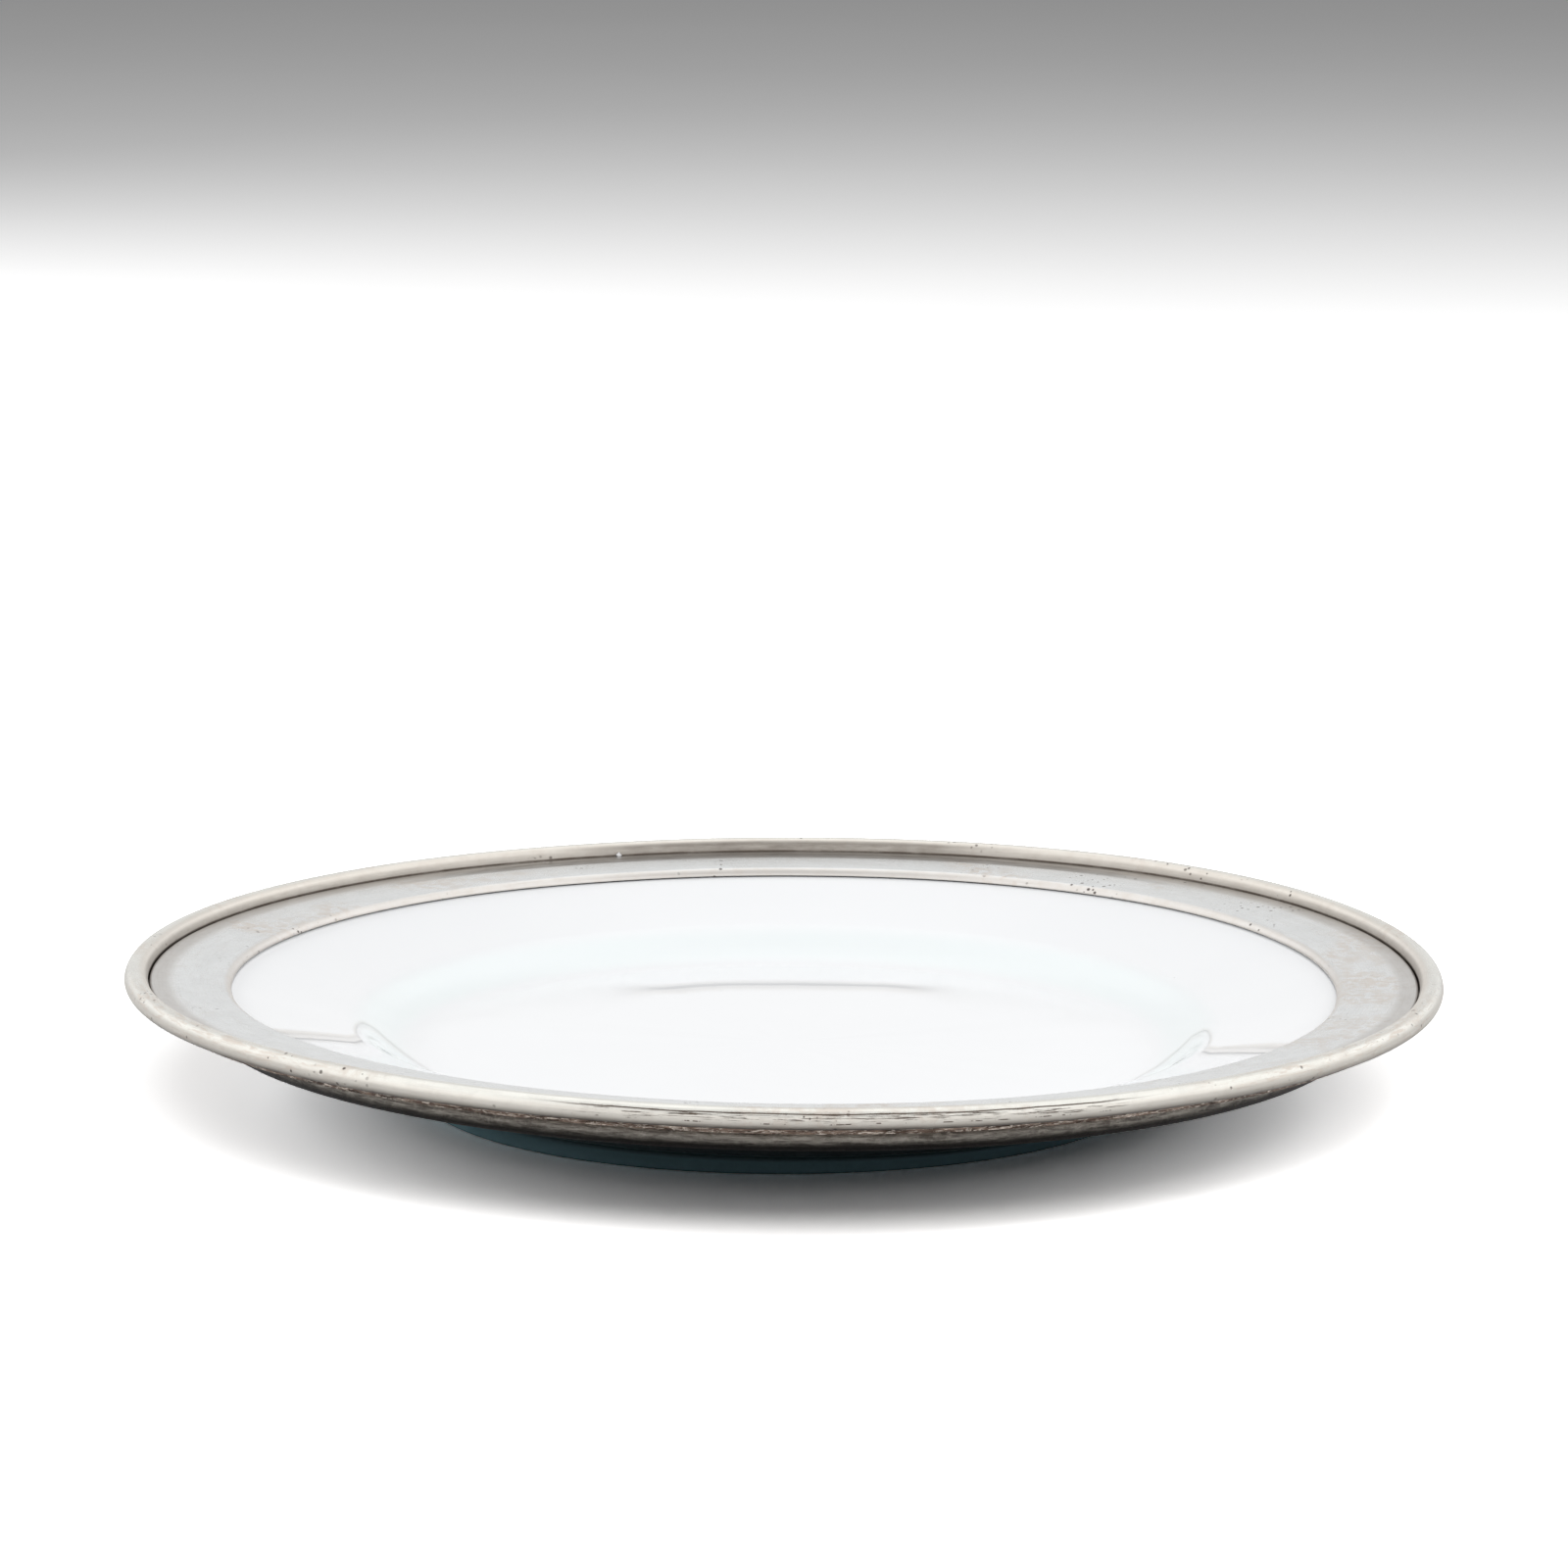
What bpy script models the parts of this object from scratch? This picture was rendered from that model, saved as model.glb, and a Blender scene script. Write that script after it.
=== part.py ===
"""Pewter-rimmed plate: a glazed stoneware dish held in a pewter rim of three rings.

Everything is turned about Z. The plate stands on Z = 0 on its foot ring, with the
origin at the middle of that ring. Sections are written in millimetres as (radius,
height, fillet) corners, and run clockwise: out over the top, down the outer side,
back under the bottom and up the inner side.
"""

import math

import bmesh
import bpy

MM = 0.001
STEPS = 64               # facets round every turned piece
GAP = 0.3                # clearance between neighbouring solids
SAGITTA = 0.06           # how far a facet of a fillet may stand off its true arc
SMOOTH_ANGLE = math.radians(35)
EDGE_ROUND = 0.3         # fillet on a pewter edge that is only broken

# Overall size
PLATE_R = 142.5
PLATE_H = 29.0

# Outer bead of the rim. Its arc runs from the flange's side over the top and
# down to the lowest point, with a vertex on the top and on the outermost point.
# Below its centre it is a little flatter than a circle.
BEAD_R = 2.5
BEAD_UNDER = 1.95        # from the centre down to the lowest point
BEAD_ARC = (157.5, -90, 11)          # first and last angle in degrees, and facets
BEAD_CENTRE_R = PLATE_R - BEAD_R
BEAD_CENTRE_Z = PLATE_H - BEAD_R
BEAD_INNER_R = 137.4
BEAD_INNER_RISE = 0.3    # how far the inner face stops above the bead's centre
BEAD_NECK_R = 138.3      # where the bead's underside turns down to the ledge
BEAD_NECK_ROUND = 0.7
LEDGE_OUTER_R = 137.6
LEDGE_INNER_R = 125.2    # inner end of the bead's ledge, under the flange
LEDGE_BOTTOM_Z = 23.0

# Flat flange, with its inner edge rolled down onto the glaze
FLANGE_OUTER_R = BEAD_INNER_R - GAP
FLANGE_OUTER_Z = 26.2
LIP_R = 119.5
LIP_TOP_R = 120.9
LIP_TOP_Z = 25.2
LIP_ROUND = 1.3
LIP_FOOT_R = 121.1       # where the rolled lip's underside meets the flange's
PEWTER_THICKNESS = 1.5

# Stoneware dish
FLOOR_Z = 10.4
WALL_FOOT_R = 84.0       # corner between the floor and the well's wall
SHOULDER_R = 93.0        # corner between the well's wall and the sloping rim
SHOULDER_Z = 16.6
RIM_CREST_R = 119.6      # beyond it the rim's top is level, under the flange
RIM_CREST_Z = 23.4
DISH_R = 121.8
RIM_UNDER_R = 117.1      # where the rim's underside turns level
RIM_UNDER_Z = 18.0
BODY_THICKNESS = 5.2
RECESS_Z = FLOOR_Z - BODY_THICKNESS      # underside of the floor, inside the foot
WALL_FILLET = 18.0       # top side: floor to wall, wall to rim, rim to crest, edge
SHOULDER_FILLET = 12.0
CREST_FILLET = 7.0
EDGE_TOP_FILLET = 1.2
EDGE_UNDER_FILLET = 2.0  # underside, from the edge inwards
RIM_UNDER_FILLET = 12.0
SHOULDER_UNDER_R = 94.2
SHOULDER_UNDER_FILLET = 14.0
WALL_UNDER_R = 85.0
WALL_UNDER_FILLET = 6.0

# Foot ring
FOOT_OUTER_R = 79.4
FOOT_INNER_R = 74.6
FOOT_ROUND = 0.8
FOOT_DRAFT = 0.6         # how much wider the ring is at its root, on each side
FOOT_ROOT_FILLET = 1.5

# Lower collar with its small rounded moulding
MOULDING_R = 2.5
MOULDING_ARC = (35, -90, 6)          # first and last angle in degrees, and facets
MOULDING_CENTRE_R = 123.2
MOULDING_CENTRE_Z = 18.7
COLLAR_INNER_R = 114.2
COLLAR_OUTER_R = 127.0
COLLAR_TOP_EDGE = 0.6    # height of the collar's top edge, under the ledge
COVE_DROP = 1.3          # the cove's corner, below the collar's top
COVE_OUT = 0.2           # and outside the start of the moulding's arc
COVE_FILLET = 0.6
SEAT_LIP_DROP = 0.4      # the inner lip's lowest edge, below the moulding
SEAT_LIP_THICKNESS = 0.8
SEAT_LIP_ROUND = 0.5

# Bedding and solder, both closed in by the pewter
BEDDING_WIDTH = 0.9
BEDDING_INNER_R = DISH_R + GAP
BEDDING_OUTER_R = BEDDING_INNER_R + BEDDING_WIDTH
COLLAR_WALL_R = BEDDING_OUTER_R + GAP
SOLDER_SET_BACK = 0.2    # from the collar's inner wall


def clear_scene():
    for obj in list(bpy.data.objects):
        bpy.data.objects.remove(obj)


def plain_material(name, colour, roughness, metallic):
    """A Principled material of one colour."""
    material = bpy.data.materials.new(name)
    material.use_nodes = True
    shader = material.node_tree.nodes["Principled BSDF"]
    shader.inputs["Base Color"].default_value = (*colour, 1)
    shader.inputs["Roughness"].default_value = roughness
    shader.inputs["Metallic"].default_value = metallic
    return material


def arc(centre_r, centre_z, radius, start_deg, end_deg, facets):
    """Points of an arc as plain corners; angles run anticlockwise from +radius."""
    points = []
    for i in range(facets + 1):
        angle = math.radians(start_deg + (end_deg - start_deg) * i / facets)
        points.append((centre_r + radius * math.cos(angle),
                       centre_z + radius * math.sin(angle), 0))
    return points


def filleted(corners, closed):
    """Replace each corner that has a fillet radius with the points of its arc."""
    points = []
    count = len(corners)
    for i, (r, z, fillet) in enumerate(corners):
        if not fillet or (not closed and i in (0, count - 1)):
            points.append((r, z))
            continue
        before, after = corners[i - 1], corners[(i + 1) % count]
        back = math.atan2(before[1] - z, before[0] - r)
        ahead = math.atan2(after[1] - z, after[0] - r)
        turn = (ahead - back + math.pi) % (2 * math.pi) - math.pi
        half = abs(turn) / 2
        middle = back + turn / 2
        centre_r = r + math.cos(middle) * fillet / math.sin(half)
        centre_z = z + math.sin(middle) * fillet / math.sin(half)
        sweep = math.pi - 2 * half
        one_facet = 2 * math.acos(1 - SAGITTA / fillet)
        facets = max(2, math.ceil(sweep / one_facet))
        first = middle + math.pi + math.copysign(sweep / 2, turn)
        for k in range(facets + 1):
            angle = first - math.copysign(sweep * k / facets, turn)
            points.append((centre_r + fillet * math.cos(angle),
                           centre_z + fillet * math.sin(angle)))
    return points


def turned(name, corners, material, closed=True):
    """Spin a section about Z. An open section starts and ends on the axis."""
    bm = bmesh.new()
    ring = [bm.verts.new((r * MM, 0, z * MM)) for r, z in filleted(corners, closed)]
    edges = [bm.edges.new(pair) for pair in zip(ring, ring[1:])]
    if closed:
        edges.append(bm.edges.new((ring[-1], ring[0])))
    bmesh.ops.spin(bm, geom=ring + edges, cent=(0, 0, 0), axis=(0, 0, 1),
                   angle=2 * math.pi, steps=STEPS, use_merge=True)
    bmesh.ops.remove_doubles(bm, verts=bm.verts, dist=0.001 * MM)
    bmesh.ops.recalc_face_normals(bm, faces=bm.faces)
    mesh = bpy.data.meshes.new(name)
    bm.to_mesh(mesh)
    bm.free()
    mesh.shade_smooth()
    mesh.set_sharp_from_angle(angle=SMOOTH_ANGLE)
    mesh.materials.append(material)
    obj = bpy.data.objects.new(name, mesh)
    bpy.context.collection.objects.link(obj)
    return obj


def flange_top(r):
    """Height of the flange's upper face, which falls a little towards the dish."""
    fall = (FLANGE_OUTER_Z - LIP_TOP_Z) / (FLANGE_OUTER_R - LIP_TOP_R)
    return LIP_TOP_Z + (r - LIP_TOP_R) * fall


def flange_underside(r):
    return flange_top(r) - PEWTER_THICKNESS


def make_ceramic_plate():
    """Flat well, curved wall, sloping rim with a round edge, and a foot ring."""
    top = [
        (0, FLOOR_Z, 0),
        (WALL_FOOT_R, FLOOR_Z, WALL_FILLET),
        (SHOULDER_R, SHOULDER_Z, SHOULDER_FILLET),
        (RIM_CREST_R, RIM_CREST_Z, CREST_FILLET),
        (DISH_R, RIM_CREST_Z, EDGE_TOP_FILLET),
    ]
    underside = [
        (DISH_R, RIM_UNDER_Z, EDGE_UNDER_FILLET),
        (RIM_UNDER_R, RIM_UNDER_Z, RIM_UNDER_FILLET),
        (SHOULDER_UNDER_R, SHOULDER_Z - BODY_THICKNESS, SHOULDER_UNDER_FILLET),
        (WALL_UNDER_R, RECESS_Z, WALL_UNDER_FILLET),
    ]
    foot = [
        (FOOT_OUTER_R + FOOT_DRAFT, RECESS_Z, FOOT_ROOT_FILLET),
        (FOOT_OUTER_R, 0, FOOT_ROUND),
        (FOOT_INNER_R, 0, FOOT_ROUND),
        (FOOT_INNER_R - FOOT_DRAFT, RECESS_Z, FOOT_ROOT_FILLET),
        (0, RECESS_Z, 0),
    ]
    glaze = plain_material("white_glaze", (0.90, 0.91, 0.92), 0.08, 0)
    return turned("ceramic_plate", top + underside + foot, glaze, closed=False)


def make_rim_flange(pewter):
    """Flat pewter ring whose inner edge is rolled down to meet the glaze."""
    corners = [
        (LIP_R, LIP_TOP_Z, LIP_ROUND),
        (FLANGE_OUTER_R, FLANGE_OUTER_Z, EDGE_ROUND),
        (FLANGE_OUTER_R, flange_underside(FLANGE_OUTER_R), 0),
        (LIP_FOOT_R, flange_underside(LIP_FOOT_R), 0),
        (LIP_R, RIM_CREST_Z + GAP, 0),
    ]
    return turned("rim_flange", corners, pewter)


def make_rim_bead(pewter):
    """Round outer bead, with a ledge on its inside that carries the flange."""
    crown = []
    for r, z, fillet in arc(BEAD_CENTRE_R, BEAD_CENTRE_Z, BEAD_R, *BEAD_ARC):
        below = min(0, z - BEAD_CENTRE_Z)
        crown.append((r, z - below + below * BEAD_UNDER / BEAD_R, fillet))
    corners = [(BEAD_INNER_R, BEAD_CENTRE_Z + BEAD_INNER_RISE, 0)] + crown + [
        (BEAD_NECK_R, BEAD_CENTRE_Z - BEAD_UNDER, BEAD_NECK_ROUND),
        (LEDGE_OUTER_R, LEDGE_BOTTOM_Z, 0),
        (LEDGE_INNER_R, LEDGE_BOTTOM_Z, 0),
        (LEDGE_INNER_R, flange_underside(LEDGE_INNER_R) - GAP, 0),
        (BEAD_INNER_R, flange_underside(BEAD_INNER_R) - GAP, 0),
    ]
    return turned("rim_bead", corners, pewter)


def make_under_collar(pewter):
    """Lower ring: a cove, a rounded moulding, and a lip that holds the dish up."""
    top_z = LEDGE_BOTTOM_Z - GAP
    moulding = arc(MOULDING_CENTRE_R, MOULDING_CENTRE_Z, MOULDING_R, *MOULDING_ARC)
    cove_r = moulding[0][0] + COVE_OUT
    seat_z = RIM_UNDER_Z - GAP
    lip_z = MOULDING_CENTRE_Z - MOULDING_R - SEAT_LIP_DROP
    corners = [
        (COLLAR_WALL_R, top_z, 0),
        (COLLAR_OUTER_R, top_z, 0),
        (COLLAR_OUTER_R, top_z - COLLAR_TOP_EDGE, EDGE_ROUND),
        (cove_r, top_z - COVE_DROP, COVE_FILLET),
    ] + moulding + [
        (COLLAR_INNER_R, lip_z, SEAT_LIP_ROUND),
        (COLLAR_INNER_R, seat_z - SEAT_LIP_THICKNESS, EDGE_ROUND),
        (RIM_UNDER_R, seat_z, 0),
        (COLLAR_WALL_R, seat_z, 0),
    ]
    return turned("under_collar", corners, pewter)


def make_rim_bedding():
    """Band of bedding compound between the dish's edge and the collar."""
    top_z, bottom_z = RIM_CREST_Z - GAP, RIM_UNDER_Z + GAP
    corners = [
        (BEDDING_INNER_R, top_z, 0),
        (BEDDING_OUTER_R, top_z, 0),
        (BEDDING_OUTER_R, bottom_z, 0),
        (BEDDING_INNER_R, bottom_z, 0),
    ]
    plaster = plain_material("bedding_compound", (0.62, 0.60, 0.54), 0.9, 0)
    return turned("rim_bedding", corners, plaster)


def make_solder_seam():
    """Ring of solder that joins the flange, the bead's ledge and the collar."""
    inner_r, outer_r = COLLAR_WALL_R + SOLDER_SET_BACK, LEDGE_INNER_R - GAP
    corners = [
        (inner_r, flange_underside(inner_r) - GAP, 0),
        (outer_r, flange_underside(outer_r) - GAP, 0),
        (outer_r, LEDGE_BOTTOM_Z, 0),
        (inner_r, LEDGE_BOTTOM_Z, 0),
    ]
    solder = plain_material("solder", (0.62, 0.62, 0.63), 0.45, 1)
    return turned("solder_seam", corners, solder)


clear_scene()
bright_pewter = plain_material("pewter", (0.62, 0.60, 0.56), 0.35, 1)
dark_pewter = plain_material("aged_pewter", (0.22, 0.19, 0.16), 0.45, 1)
make_ceramic_plate()
make_rim_flange(bright_pewter)
make_rim_bead(bright_pewter)
make_under_collar(dark_pewter)
make_rim_bedding()
make_solder_seam()
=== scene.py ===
"""Looks of the pewter-rimmed plate: every ring and the dish are turned again with fine
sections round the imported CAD, given glaze, pewter and patina made of nodes, and set on
a pale floor under soft studio light.
"""

import math

import bmesh
import bpy
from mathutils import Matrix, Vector, noise


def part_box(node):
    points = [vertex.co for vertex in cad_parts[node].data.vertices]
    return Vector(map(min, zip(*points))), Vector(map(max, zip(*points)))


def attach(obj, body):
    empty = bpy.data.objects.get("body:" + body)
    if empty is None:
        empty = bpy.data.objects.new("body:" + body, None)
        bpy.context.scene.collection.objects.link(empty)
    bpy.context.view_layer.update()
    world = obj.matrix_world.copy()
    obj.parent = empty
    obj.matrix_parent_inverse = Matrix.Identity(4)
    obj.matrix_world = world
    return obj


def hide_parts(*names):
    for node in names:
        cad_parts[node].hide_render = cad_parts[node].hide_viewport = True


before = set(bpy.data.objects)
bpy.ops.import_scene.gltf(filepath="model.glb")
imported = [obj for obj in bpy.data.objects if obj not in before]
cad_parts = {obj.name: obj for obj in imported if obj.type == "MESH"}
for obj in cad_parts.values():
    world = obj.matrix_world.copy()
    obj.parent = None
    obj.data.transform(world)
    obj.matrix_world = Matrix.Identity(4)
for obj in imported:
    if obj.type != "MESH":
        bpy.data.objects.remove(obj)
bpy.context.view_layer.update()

MM = 0.001


def ring_of(node):
    """Inner radius, outer radius, lowest and highest point of a CAD node, in mm."""
    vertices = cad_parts[node].data.vertices
    low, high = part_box(node)
    inner = min(math.hypot(v.co.x, v.co.y) for v in vertices)
    return inner / MM, high.x / MM, low.z / MM, high.z / MM


# What the CAD says
LEDGE_INNER_R, PLATE_R, LEDGE_BOTTOM_Z, PLATE_H = ring_of("rim_bead")
LIP_R, FLANGE_OUTER_R, LIP_BOTTOM_Z, FLANGE_TOP_Z = ring_of("rim_flange")
COLLAR_INNER_R, COLLAR_OUTER_R, _, COLLAR_TOP_Z = ring_of("under_collar")
BEDDING_INNER_R, BEDDING_OUTER_R, BEDDING_BOTTOM_Z, BEDDING_TOP_Z = ring_of("rim_bedding")
SOLDER_INNER_R, SOLDER_OUTER_R, SOLDER_BOTTOM_Z, SOLDER_TOP_Z = ring_of("solder_seam")
_, DISH_R, _, DISH_TOP_Z = ring_of("ceramic_plate")

# Mesh fineness
SEGMENTS = 768           # round the rim's pieces
DISH_SEGMENTS = 512
HIDDEN_SEGMENTS = SEGMENTS // 4
SAGITTA = 0.004          # mm that a facet of a fillet may stand off its true arc
LONGEST_STEP = 3.0       # mm between two rings of a section's straight runs
SMOOTH_ANGLE = math.radians(38)

# Handmade unevenness; the first five are measured at the lip and grow outwards
RIM_DROP = 0.32          # mm; the whole rim sits a little low
LEAN_X = -0.90           # mm; up on the side of -X, down on the side of +X
LEAN_Y = 0.41            # mm; the back, on the side of +Y, is up
TWIST = 0.52             # mm; two high quarters and two low ones
THIRD = 0.15             # mm; three slow waves
BEAD_LIFT = 0.45         # mm; the bead stands a little high at the front's left and right
BEAD_LIFT_LEAN = 0.15    # mm; more so at the right
LEVEL_BELOW = 4.5        # mm; the foot under this height fades to dead level
WOBBLE = 0.05            # mm, slow rise and fall round the rim
WOBBLE_PACE = 4.3        # noise cells per radius
WOBBLE_SEED = Vector((3.1, 0.7, 5.0))
ROUND_WOBBLE = 0.10      # mm, slow in and out round the rim
ROUND_PACE = 1.7
ROUND_SEED = Vector((9.4, 2.2, 1.0))
WOBBLE_FROM_R = 60       # mm; both fade out inside this radius

# Sections, in mm
GAP = 0.3
BEAD_R = 2.5
BEAD_UNDER = 1.95        # the bead is a little flatter below its centre
BEAD_INNER_RISE = 0.3
BEAD_NECK_R = 138.3
LEDGE_OUTER_R = 137.6
LIP_TOP_R = 120.9
LIP_TOP_Z = 25.35
LIP_WIDTH = 1.6          # of the lip's underside
LIP_ROLL = 2.2           # how far out the lip's soft roll reaches
LIP_FACE = 0.2           # upright face left under the roll
LIP_ROLL_START = 155     # degrees; the roll leaves that face at a slant
PEWTER_THICKNESS = 1.5
FLOOR_Z = 10.4
WALL_FOOT_R = 84.0
SHOULDER_R = 93.0
SHOULDER_Z = 16.6
RIM_CREST_R = 119.6
RIM_UNDER_R = 117.1
RIM_UNDER_Z = 18.0
SHOULDER_UNDER_R = 94.2
WALL_UNDER_R = 85.0
BODY_THICKNESS = 5.2
RECESS_Z = FLOOR_Z - BODY_THICKNESS
FOOT_OUTER_R = 79.4
FOOT_INNER_R = 74.6
FOOT_DRAFT = 0.6
MOULDING_R = 2.5
MOULDING_CENTRE_R = 123.2
MOULDING_CENTRE_Z = 18.7
MOULDING_STARTS = 6.4     # distance along the collar's section
TACK_DEG = 106.5         # where a drop of solder crosses the crevice
TACK_SIZE = (1.1, 0.75, 0.8)     # half its width, length and height
TACK_LUMPS = 0.22        # share of its size

# Where the glaze changes: mm along the dish's section, from the middle of the well over the
# rim to the foot, and heights in mm
ACROSS_WELL_WALL = (86.0, 91.0)
ACROSS_DULL = (55.0, 92.0)
ACROSS_OUTSIDE = (126.0, 178.5)
ACROSS_RIM_EDGE = 122.0
FOOT_SHADE_HEIGHTS = (9.5, 5.0)        # the painted shade on the foot comes in downwards between them
# where the painted shade in the foot's root lies
ROOT_SHADE_HEIGHTS = (4.1, 8.5)
BARE_HEIGHTS = (0.50, 0.34)      # the glaze ends downwards between them

# Where the pewter is marked
ACROSS_BEAD_FACE = (8.2, 9.6)    # mm along the bead's section; scratched at the front
RING_R = 130.0           # mm; patterns that run round the plate have their true size here

# Roughness
GLAZE_SMOOTH, GLAZE_LESS_SMOOTH, GLAZE_DULL, BISCUIT_ROUGH = 0.022, 0.046, 0.19, 0.8
PEWTER_SHINE = 0.25      # the middle of the roughness of clean pewter

# Colours
GLAZE_LOW, GLAZE_HIGH = (0.874, 0.886, 0.902), (0.897, 0.906, 0.918)
GLAZE_POOLED = (0.850, 0.912, 0.912)
GLAZE_SPECK = (0.33, 0.31, 0.29)
# painted shade: blue-green on the foot, near black in the foot's root
FOOT_PAINTED_SHADE = (0.345, 0.590, 0.675)
ROOT_PAINTED_SHADE = (0.030, 0.052, 0.062)
BISCUIT_LOW, BISCUIT_HIGH = (0.12, 0.12, 0.11), (0.24, 0.23, 0.21)
FLANGE_TONES = [(0.610, 0.622, 0.622), (0.660, 0.673, 0.674)]
BEAD_TONES = [(0.628, 0.622, 0.582), (0.682, 0.675, 0.632)]
MOTTLE = (0.50, 0.485, 0.46)
BEIGE = (0.56, 0.500, 0.445)
BRUSHED = (0.46, 0.425, 0.375)
# colour of the pewter's dark bands: patina in crevices, and painted shade under the bead
DIRT_AND_SHADE = (0.125, 0.105, 0.088)
SCRATCH = (0.085, 0.060, 0.046)
PIT = (0.06, 0.045, 0.038)
BROWN_DEEP, BROWN = (0.045, 0.031, 0.024), (0.290, 0.212, 0.170)
BROWN_FLECK = (0.76, 0.68, 0.60)
GREY_DEEP, GREY = (0.12, 0.106, 0.093), (0.40, 0.375, 0.335)
GREY_FLECK = (0.50, 0.47, 0.42)
# painted shade on the moulding's lower half
MOULDING_UNDERSIDE_SHADE = (0.012, 0.010, 0.009)
BEDDING_LOW, BEDDING_HIGH = (0.30, 0.28, 0.24), (0.52, 0.49, 0.43)
SOLDER_LOW, SOLDER_HIGH = (0.45, 0.45, 0.45), (0.66, 0.66, 0.67)

# Floor
FLOOR_SEEN_LOW, FLOOR_SEEN_HIGH = (1.93, 1.93, 1.93), (1.99, 1.99, 1.99)
FLOOR_GIVES_BACK = (0.20, 0.20, 0.20)
FLOOR_MIRRORED = (0.85, 0.85, 0.85)
FLOOR_REACH = 15.0       # metres
FLOOR_OPEN_R = (FOOT_INNER_R + FOOT_OUTER_R) / 2
FLOOR_SEGMENTS = 128

# Light
AMBIENT = 0.10           # what the world gives to plain surfaces
BACKDROP = 1.2           # and to the camera
BASE_GLOW = 1.00         # and to reflections, by direction
ZENITH_GLOW = 0.94
HIGH_BACK_GLOW = 1.50
SIDE_GLOW = 1.50
FRONT_GLOW = 1.22
HIGH_RANGE = (0.55, 0.80)        # parts of a unit direction over which each glow comes in
BACK_RANGE = (-0.02, 0.30)
BACK_WIDENS = 0.6                # how much of |x| counts towards the back
SIDE_RANGE = (0.28, 0.55)
SIDE_HEIGHT = (0.04, 0.40)
FRONT_RANGE = (0.55, 0.80)
SOFTBOX_DISTANCE = 1.8
SOFTBOXES = [                    # azimuth, elevation, width, height, share
    ("front_softbox", 0, 50, 1.5, 1.0, 0.32),
    ("front_right_softbox", -45, 30, 1.1, 0.7, 0.105),
    ("front_left_softbox", 75, 25, 1.1, 0.7, 0.105),
    ("left_softbox", 108, 25, 1.1, 0.7, 0.150),
    ("back_left_softbox", 140, 25, 1.1, 0.7, 0.05),
    ("right_softbox", -108, 25, 1.1, 0.7, 0.175),
    ("high_right_softbox", -90, 50, 1.2, 1.0, 0.13),
]

# Camera
CAMERA_DISTANCE = 1.5
CAMERA_ELEVATION = math.radians(12.2)
CAMERA_LENS = 158.6      # mm
CAMERA_SENSOR = 36.0     # mm
CAMERA_SEES = 60.0       # metres
AIM_HEIGHT = 0.020       # the camera is placed by this point on the plate's axis
AIM_ABOVE = math.radians(1.78)           # and looks this far above it


# Sections -------------------------------------------------------------------

def arc(centre_r, centre_z, radius, start_deg, end_deg):
    """Points of an arc as plain corners; angles run anticlockwise from +radius."""
    sweep = math.radians(abs(end_deg - start_deg))
    facets = max(2, math.ceil(sweep / (2 * math.acos(1 - SAGITTA / radius))))
    points = []
    for i in range(facets + 1):
        angle = math.radians(start_deg + (end_deg - start_deg) * i / facets)
        points.append((centre_r + radius * math.cos(angle),
                       centre_z + radius * math.sin(angle), 0))
    return points


def filleted(corners, closed):
    """Replace each corner that has a fillet radius with the points of its arc."""
    points = []
    count = len(corners)
    for i, (r, z, fillet) in enumerate(corners):
        if not fillet or (not closed and i in (0, count - 1)):
            points.append((r, z))
            continue
        before, after = corners[i - 1], corners[(i + 1) % count]
        back = math.atan2(before[1] - z, before[0] - r)
        ahead = math.atan2(after[1] - z, after[0] - r)
        turn = (ahead - back + math.pi) % (2 * math.pi) - math.pi
        half = abs(turn) / 2
        middle = back + turn / 2
        centre_r = r + math.cos(middle) * fillet / math.sin(half)
        centre_z = z + math.sin(middle) * fillet / math.sin(half)
        sweep = math.pi - 2 * half
        facets = max(3, math.ceil(sweep / (2 * math.acos(1 - SAGITTA / fillet))))
        first = middle + math.pi + math.copysign(sweep / 2, turn)
        for k in range(facets + 1):
            angle = first - math.copysign(sweep * k / facets, turn)
            points.append((centre_r + fillet * math.cos(angle),
                           centre_z + fillet * math.sin(angle)))
    return points


def stepped(points, closed):
    """Add points along straight runs that are longer than LONGEST_STEP."""
    ends = points[1:] + points[:1] if closed else points[1:]
    result = []
    for (r0, z0), (r1, z1) in zip(points, ends):
        pieces = max(1, math.ceil(math.hypot(r1 - r0, z1 - z0) / LONGEST_STEP))
        for k in range(pieces):
            t = k / pieces
            result.append((r0 + (r1 - r0) * t, z0 + (z1 - z0) * t))
    if not closed:
        result.append(points[-1])
    return result


def flange_top(r):
    fall = (FLANGE_TOP_Z - LIP_TOP_Z) / (FLANGE_OUTER_R - LIP_TOP_R)
    return LIP_TOP_Z + (r - LIP_TOP_R) * fall


def flange_underside(r):
    return flange_top(r) - PEWTER_THICKNESS


def dish_section():
    return [
        (0, FLOOR_Z, 0),
        (WALL_FOOT_R, FLOOR_Z, 18),
        (SHOULDER_R, SHOULDER_Z, 12),
        (RIM_CREST_R, DISH_TOP_Z, 7),
        (DISH_R, DISH_TOP_Z, 1.2),
        (DISH_R, RIM_UNDER_Z, 2.0),
        (RIM_UNDER_R, RIM_UNDER_Z, 12),
        (SHOULDER_UNDER_R, SHOULDER_Z - BODY_THICKNESS, 14),
        (WALL_UNDER_R, RECESS_Z, 6),
        (FOOT_OUTER_R + FOOT_DRAFT, RECESS_Z, 1.5),
        (FOOT_OUTER_R, 0, 0.8),
        (FOOT_INNER_R, 0, 0.8),
        (FOOT_INNER_R - FOOT_DRAFT, RECESS_Z, 1.5),
        (0, RECESS_Z, 0),
    ]


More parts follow.
